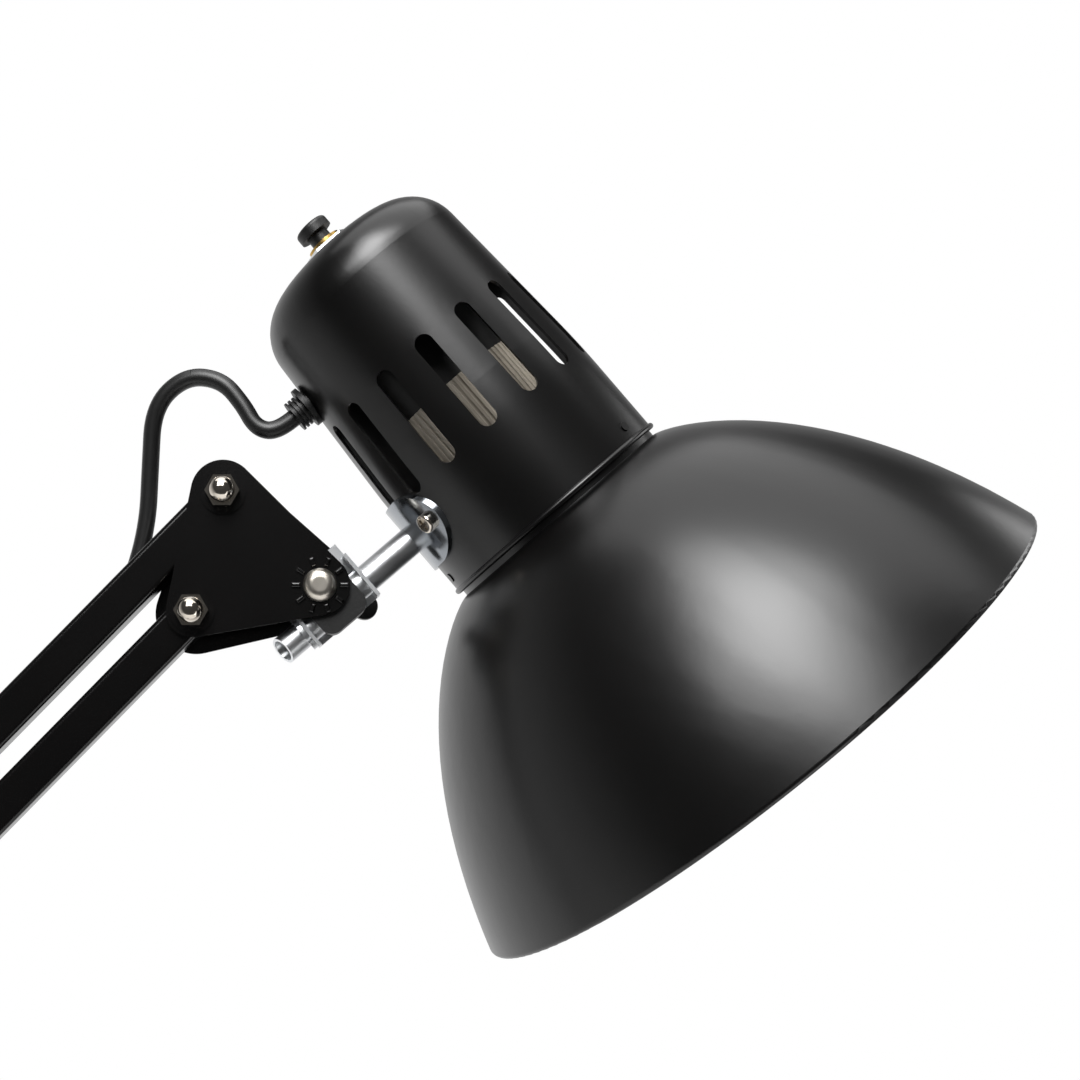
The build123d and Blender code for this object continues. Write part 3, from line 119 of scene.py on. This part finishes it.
# Satin zinc plate on turned and folded steel: pale grey metal with cloudy patches.
def cloudy_metal(name, dark, light, smooth, dull, scale):
    """Bare or plated metal whose tone and roughness drift in patches."""
    made, shader, place = finish_of(name)
    cloud = add_node(made, "ShaderNodeTexNoise", {}, {"Scale": scale, "Detail": 4.0}, {"Vector": place})
    tone = add_node(made, "ShaderNodeMix", {"data_type": "RGBA"},
                    {"A": linear(dark), "B": linear(light)}, {"Factor": cloud.outputs["Fac"]})
    gloss = add_node(made, "ShaderNodeMapRange", {}, {"To Min": smooth, "To Max": dull},
                     {"Value": cloud.outputs["Fac"]})
    made.node_tree.links.new(tone.outputs["Result"], shader.inputs["Base Color"])
    made.node_tree.links.new(gloss.outputs["Result"], shader.inputs["Roughness"])
    shader.inputs["Metallic"].default_value = 1.0
    return made


zinc = cloudy_metal("satin_zinc_plate", "#d6d9dc", "#f3f4f5", 0.27, 0.40, 120.0)
coat(zinc, "pressure_pad", "clamp_screw", "clamp_handle")

# Black moulded nylon: dull sheen with a spark-eroded texture.
nylon, shader, place = finish_of("black_moulded_nylon")
grit = add_node(nylon, "ShaderNodeTexNoise", {}, {"Scale": 1400.0, "Detail": 2.0}, {"Vector": place})
tone = add_node(nylon, "ShaderNodeMix", {"data_type": "RGBA"},
                {"A": linear("#050505"), "B": linear("#0b0b0b")}, {"Factor": grit.outputs["Fac"]})
skin = add_node(nylon, "ShaderNodeBump", {}, {"Strength": 0.15, "Distance": 0.0002},
                {"Height": grit.outputs["Fac"]})
nylon.node_tree.links.new(tone.outputs["Result"], shader.inputs["Base Color"])
nylon.node_tree.links.new(skin.outputs["Normal"], shader.inputs["Normal"])
shader.inputs["Roughness"].default_value = 0.45
coat(nylon, "swivel_bush")

# Swivel fork: a folded steel channel riveted to its spindle, with pivot bolts and cap
# nuts in bright nickel plate.
coat(enamel, "base_fork")
coat(zinc, "swivel_spindle")
nickel = cloudy_metal("nickel_plate", "#cfc5b8", "#e6dfd4", 0.08, 0.16, 300.0)
coat(nickel, "base_bolts", "base_cap_nuts", "base_spring_pin")

# Arms: square steel tubes with rounded corners, and plates pressed from sheet, all in
# the same enamel, on nickel plated pivots.
coat(enamel, "lower_rear_bar", "lower_front_bar", "elbow_plate_near", "elbow_plate_far",
     "upper_top_bar", "upper_bottom_bar")
coat(nickel, "elbow_bolts", "elbow_cap_nuts", "elbow_spring_pin", "lower_spring_studs", "upper_spring_studs")

# Springs: close coils of bare steel wire, hooked on a pin at the plate and on a stud on
# the bar.
spring_steel = cloudy_metal("drawn_spring_steel", "#8f9092", "#b9babb", 0.24, 0.32, 500.0)


def tube_along(name, points, radius, sides):
    """A round tube through the points, as a mesh."""
    line = bpy.data.curves.new(name, "CURVE")
    line.dimensions = "3D"
    line.bevel_depth = radius
    line.bevel_resolution = sides
    line.use_fill_caps = True
    spline = line.splines.new("POLY")
    spline.points.add(len(points) - 1)
    for knot, point in zip(spline.points, points):
        knot.co = (*point, 1)
    tube = bpy.data.objects.new(name, line)
    bpy.context.scene.collection.objects.link(tube)
    bpy.ops.object.select_all(action="DESELECT")
    tube.select_set(True)
    bpy.context.view_layer.objects.active = tube
    bpy.ops.object.convert(target="MESH")
    bpy.ops.object.shade_smooth()
    return tube


def wind_spring(name, pin, stud, node):
    """Two springs between a pin and a stud, one on each side of the arm."""
    turns, steps, coil_r, wire_r = 24, 16, 0.004, 0.0006
    eye_r, neck, aside = 0.0027, 0.005, 0.0126
    along = (stud - pin).normalized()
    across = along.cross(Vector((0, 1, 0)))
    length = (stud - pin).length - 2 * (eye_r + neck)
    for side, label in ((-1, "near"), (1, "far")):
        out = Vector((0, side * aside, 0))
        def eye(centre, outward):
            return [centre + out + outward * (eye_r * cos(a)) + across * (eye_r * sin(a))
                    for a in [radians(20 + 14 * n) for n in range(25)]]
        first = pin + along * (eye_r + neck)
        helix = []
        for n in range(turns * steps + 1):
            angle = 2 * pi * n / steps
            helix.append(first + out + along * (length * n / (turns * steps))
                         + across * (coil_r * cos(angle)) + Vector((0, coil_r * sin(angle), 0)))
        path = eye(pin, along) + [first + out - along * (neck * 0.6)] + helix \
            + [stud + out - along * (eye_r + neck * 0.4)] + eye(stud, -along)[::-1]
        spring = tube_along(f"{name}_{label}", path, wire_r, 2)
        spring.data.materials.append(spring_steel)
        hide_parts(node)
        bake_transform(spring)


wind_spring("lower_spring", Vector((-0.026, 0, 0.0511)), Vector((-0.04136, 0, 0.12828)),
            "lower_springs")
wind_spring("upper_spring", Vector((-0.14177, 0, 0.46563)), Vector((-0.06570, 0, 0.52269)),
            "upper_springs")

# Head plates: two cheeks cut from sheet that carry the head's knuckle between them,
# clamped by a domed bolt in front and a winged knob behind.
coat(enamel, "head_plate_near", "head_plate_far")
coat(nickel, "head_bolts", "head_cap_nuts")
coat(cloudy_metal("barrelled_steel", "#cdc6bb", "#e3ddd3", 0.26, 0.36, 300.0), "tilt_bolt")
coat(zinc, "tilt_washer")
coat(nylon, "tilt_knob", "knuckle_block")

# Knuckle and stem: a folded zinc plated clip round a friction block, and the plated tube
# that turns in it, kept by a push-on retainer.
coat(zinc, "knuckle_clip", "stem_tube", "stem_retainer")

# Saddle: a stadium in zinc plate with a sharper shine and a darker tone that is painted shade,
# bent to the housing and held by two cross-head screws.
coat(cloudy_metal("bright_zinc_plate_painted_shade", "#80848a", "#a6aaae", 0.10, 0.18, 90.0), "saddle_plate")
coat(zinc, "saddle_nuts")
coat(nickel, "saddle_screws")

# Housing: a drawn steel cup with vent slots, in a satin black enamel.
satin = black_enamel("satin_black_enamel", 0.26, 0.32)
coat(satin, "housing")

# Shade: a spun steel dome with a rolled rim, riveted into the housing's mouth.
coat(satin, "shade", "shade_rivets")

# Lampholder: a fluted ceramic skirt with a brass screw shell, under a black cap.
ceramic, shader, place = finish_of("ivory_glazed_ceramic")
mottle = add_node(ceramic, "ShaderNodeTexNoise", {}, {"Scale": 140.0, "Detail": 4.0}, {"Vector": place})
tone = add_node(ceramic, "ShaderNodeMix", {"data_type": "RGBA"},
                {"A": linear("#a59c8e"), "B": linear("#b9b1a4")}, {"Factor": mottle.outputs["Fac"]})
ceramic.node_tree.links.new(tone.outputs["Result"], shader.inputs["Base Color"])
shader.inputs["Roughness"].default_value = 0.3
coat(ceramic, "holder_skirt")
brass = cloudy_metal("plain_brass", "#b08d4a", "#cfae6a", 0.26, 0.34, 260.0)
coat(brass, "screw_shell", "centre_contact", "holder_nipple")
coat(zinc, "nipple_nuts")
coat(nylon, "holder_cap", "switch_button", "cord_grip")

# Cord: a round 4.8 mm sheathed lead. It leaves the housing's grip, loops over to the far
# side of the top bar, runs inside the bars and round the elbow, and lies on the table.
sheath, shader, place = finish_of("black_cord_sheath")
flow = add_node(sheath, "ShaderNodeTexNoise", {}, {"Scale": 420.0, "Detail": 2.0}, {"Vector": place})
tone = add_node(sheath, "ShaderNodeMix", {"data_type": "RGBA"},
                {"A": linear("#0c0c0c"), "B": linear("#161616")}, {"Factor": flow.outputs["Fac"]})
skin = add_node(sheath, "ShaderNodeBump", {}, {"Strength": 0.08, "Distance": 0.0002},
                {"Height": flow.outputs["Fac"]})
sheath.node_tree.links.new(tone.outputs["Result"], shader.inputs["Base Color"])
sheath.node_tree.links.new(skin.outputs["Normal"], shader.inputs["Normal"])
shader.inputs["Roughness"].default_value = 0.4
cord_d = 0.0048


def smooth_line(route):
    """Points read from one smooth spline that has the route as its control points."""
    line = bpy.data.curves.new("route", "CURVE")
    line.dimensions = "3D"
    line.resolution_u = 10
    spline = line.splines.new("NURBS")
    spline.points.add(len(route) - 1)
    for knot, point in zip(spline.points, route):
        knot.co = (*point, 1)
    spline.order_u = 3
    spline.use_endpoint_u = True
    holder = bpy.data.objects.new("route", line)
    bpy.context.scene.collection.objects.link(holder)
    read = bpy.data.meshes.new_from_object(holder)
    points = [vertex.co.copy() for vertex in read.vertices]
    bpy.data.objects.remove(holder)
    bpy.data.meshes.remove(read)
    return points


def lay_cord(name, points, node):
    """A stretch of the cord along points of its line."""
    stretch = tube_along(name, points, cord_d / 2, 3)
    stretch.data.materials.append(sheath)
    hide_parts(node)
    return stretch


def split_line(points, *shares):
    """Cuts a line into stretches at shares of its points."""
    marks = [0] + [round(s * (len(points) - 1)) for s in shares] + [len(points) - 1]
    return [points[a:b + 1] for a, b in zip(marks, marks[1:])]


head_route = [(0.1634, 0.0, 0.7577), (0.1588, 0.0, 0.7538), (0.153, 0.0003, 0.7548),
              (0.1495, 0.001, 0.7613), (0.1436, 0.002, 0.7683), (0.1336, 0.004, 0.7697),
              (0.1247, 0.0065, 0.7618), (0.1236, 0.009, 0.746), (0.1226, 0.0105, 0.729),
              (0.1171, 0.0115, 0.711), (0.1076, 0.0115, 0.698), (0.0941, 0.0115, 0.6853),
              (0.0741, 0.0, 0.665), (0.0594, 0.0, 0.65)]
grip_part, loop_part, drop_part = split_line(smooth_line(head_route), 0.36, 0.66)
cord = lay_cord("head_cord_grip", grip_part, "head_cord")
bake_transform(cord)
cord = lay_cord("head_cord_loop", loop_part, "head_cord")
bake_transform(cord)
cord = lay_cord("head_cord_drop", drop_part, "head_cord")
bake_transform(cord)

elbow_route = [(-0.0685, 0.0, 0.5198), (-0.0832, 0.0, 0.5049), (-0.118, 0.0, 0.4912),
               (-0.15, 0.001, 0.4722), (-0.176, 0.002, 0.4462), (-0.174, 0.001, 0.4142),
               (-0.155, 0.0, 0.3907), (-0.1252, 0.0, 0.3585), (-0.118, 0.0, 0.3388)]
upper_part, lower_part = split_line(smooth_line(elbow_route), 0.55)
cord = lay_cord("elbow_cord_upper", upper_part, "elbow_cord")
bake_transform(cord)
cord = lay_cord("elbow_cord_lower", lower_part, "elbow_cord")
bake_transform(cord)

for name, body, ends in (("upper_arm_cord", "upper_top", (head_route[-1], elbow_route[0])),
                         ("lower_arm_cord", "lower_rear", (elbow_route[-1], (-0.0414, 0.0, 0.1283))),
                         ("holder_lead", "head", ((0.1763, 0.0, 0.7688), head_route[0]))):
    inner = tube_along(name + "_sheath", [Vector(p) for p in ends], cord_d / 2, 3)
    inner.data.materials.append(sheath)
    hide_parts(name)
    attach(inner, body)

# Mains lead: out of the rear bar above the fork, down to the table, and the rest of its
# length wound in two layers of turns under a tie, with the plug at its end.
coil_turns, coil_points = 6.5, 78
coil_x, coil_y, coil_low, layer_rise = -0.098, -0.042, 0.0034, 0.0054
inner_r, turn_step = 20.0, 5.4
coil_route = []
for n in range(coil_points + 1):
    turns = n * coil_turns / coil_points
    back = turns - coil_turns / 2
    climb = min(max(2 * back + 0.5, 0), 1)
    reach = (inner_r + turn_step * abs(back)) / 1000
    angle = pi / 2 + 2 * pi * turns
    coil_route.append((coil_x + reach * cos(angle), coil_y + reach * sin(angle),
                       coil_low + layer_rise * climb * climb * (3 - 2 * climb)))
tail_route = [(-0.0414, 0.0, 0.1283), (-0.0342, 0.0, 0.1085), (-0.0356, 0.0, 0.075), (-0.0375, -0.001, 0.046),
              (-0.0405, -0.003, 0.024), (-0.05, -0.0042, 0.009), (-0.067, -0.0049, 0.0039),
              (-0.0842, -0.0044, 0.0034), (-0.0932, -0.0044, 0.0034)]
plug_route = [(-0.086, -0.07955, 0.0088), (-0.074, -0.07955, 0.0088)]
mains_line = smooth_line(tail_route + coil_route + plug_route)
fork_turn = Vector((-0.0375, -0.001, 0.046))
top_end = min(range(len(mains_line)), key=lambda n: (mains_line[n] - fork_turn).length)
coat(nylon, "plug_body", "cord_tie")
coat(nickel, "plug_pins")
cord = lay_cord("tail_cord_top", mains_line[:top_end + 1], "tail_cord")
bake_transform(cord)
cord = lay_cord("mains_cord", mains_line[top_end:], "cord_coil")
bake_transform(cord)

# Stage: a pale floor that ends at the clamp, like a table's edge, and soft studio light.
# The world is white to the camera, and white to mirrored rays behind the lamp, fading to
# dark in front of it.
pale, shader, place = finish_of("pale_studio_floor")
speck = add_node(pale, "ShaderNodeTexNoise", {}, {"Scale": 3.0}, {"Vector": place})
tone = add_node(pale, "ShaderNodeMix", {"data_type": "RGBA"},
                {"A": linear("#e9e9e8"), "B": linear("#eeeeed")}, {"Factor": speck.outputs["Fac"]})
pale.node_tree.links.new(tone.outputs["Result"], shader.inputs["Base Color"])
shader.inputs["Roughness"].default_value = 0.7
floor_long, floor_deep, floor_thick = 3.0, 0.7, 0.0299
floor_middle, floor_edge, floor_drop = 0.05, 0.0255, 0.00005
bpy.ops.mesh.primitive_cube_add(
    size=1, location=(floor_middle, floor_edge - floor_deep / 2, -floor_drop - floor_thick / 2))
floor = bpy.context.object
floor.name = "floor"
floor.scale = (floor_long, floor_deep, floor_thick)
bpy.ops.object.transform_apply(location=False, rotation=False, scale=True)
floor.data.materials.append(pale)

scene = bpy.context.scene
scene.view_settings.view_transform = "Standard"
world = bpy.data.worlds.new("studio")
scene.world = world
world.use_nodes = True
ground = world.node_tree.nodes["Background"]
ground.inputs["Color"].default_value = (1, 1, 1, 1)
backdrop_way, plain_fill = (-0.45, 0.89, -0.6), 0.28
behind = add_node(world, "ShaderNodeVectorMath", {"operation": "DOT_PRODUCT"})
behind.inputs[1].default_value = backdrop_way
world.node_tree.links.new(add_node(world, "ShaderNodeTexCoord").outputs["Generated"], behind.inputs[0])
backdrop = add_node(world, "ShaderNodeMapRange", {},
                    {"From Min": 0.0, "From Max": 1.1, "To Min": 0.05, "To Max": 1.0},
                    {"Value": behind.outputs["Value"]})
ray = add_node(world, "ShaderNodeLightPath")
mirrored = add_node(world, "ShaderNodeMath", {"operation": "MAXIMUM"})
world.node_tree.links.new(ray.outputs["Is Glossy Ray"], mirrored.inputs[0])
world.node_tree.links.new(ray.outputs["Is Transmission Ray"], mirrored.inputs[1])
surround = add_node(world, "ShaderNodeMix", {"data_type": "FLOAT"}, {"A": plain_fill},
                    {"Factor": mirrored.outputs["Value"], "B": backdrop.outputs["Result"]})
seen = add_node(world, "ShaderNodeMath", {"operation": "MAXIMUM"})
world.node_tree.links.new(surround.outputs["Result"], seen.inputs[0])
world.node_tree.links.new(ray.outputs["Is Camera Ray"], seen.inputs[1])
world.node_tree.links.new(seen.outputs["Value"], ground.inputs["Strength"])

lit_point = Vector((0.26, -0.02, 0.70))
for name, place, wide, tall, power in (("key", (0.04, -0.85, 1.6), 0.45, 0.6, 7.5),
                                       ("key_surround", (0.04, -0.86, 1.61), 0.9, 1.1, 20.0),
                                       ("top", (0.28, -0.05, 1.9), 1.5, 1.5, 11.0),
                                       ("side", (1.0, 0.3, 1.05), 0.5, 0.5, 1.6),
                                       ("under", (0.75, -0.3, 0.3), 0.4, 0.4, 0.6)):
    lamp = bpy.data.lights.new(name, "AREA")
    lamp.shape = "RECTANGLE"
    lamp.size = wide
    lamp.size_y = tall
    lamp.energy = power
    holder = bpy.data.objects.new(name, lamp)
    scene.collection.objects.link(holder)
    holder.location = place
    holder.visible_camera = False
    holder.rotation_euler = (lit_point - Vector(place)).to_track_quat("-Z", "Y").to_euler()

camera = bpy.data.objects.new("camera", bpy.data.cameras.new("camera"))
scene.collection.objects.link(camera)
camera.data.lens = 55.74
camera.data.sensor_width = 36
camera.location = (0.17365, -0.45, 0.67728)
camera.data.shift_x = 0.1919
camera.data.shift_y = 0.1632
camera.rotation_euler = (radians(90), 0, 0)
camera.data.clip_start = 0.01
scene.camera = camera
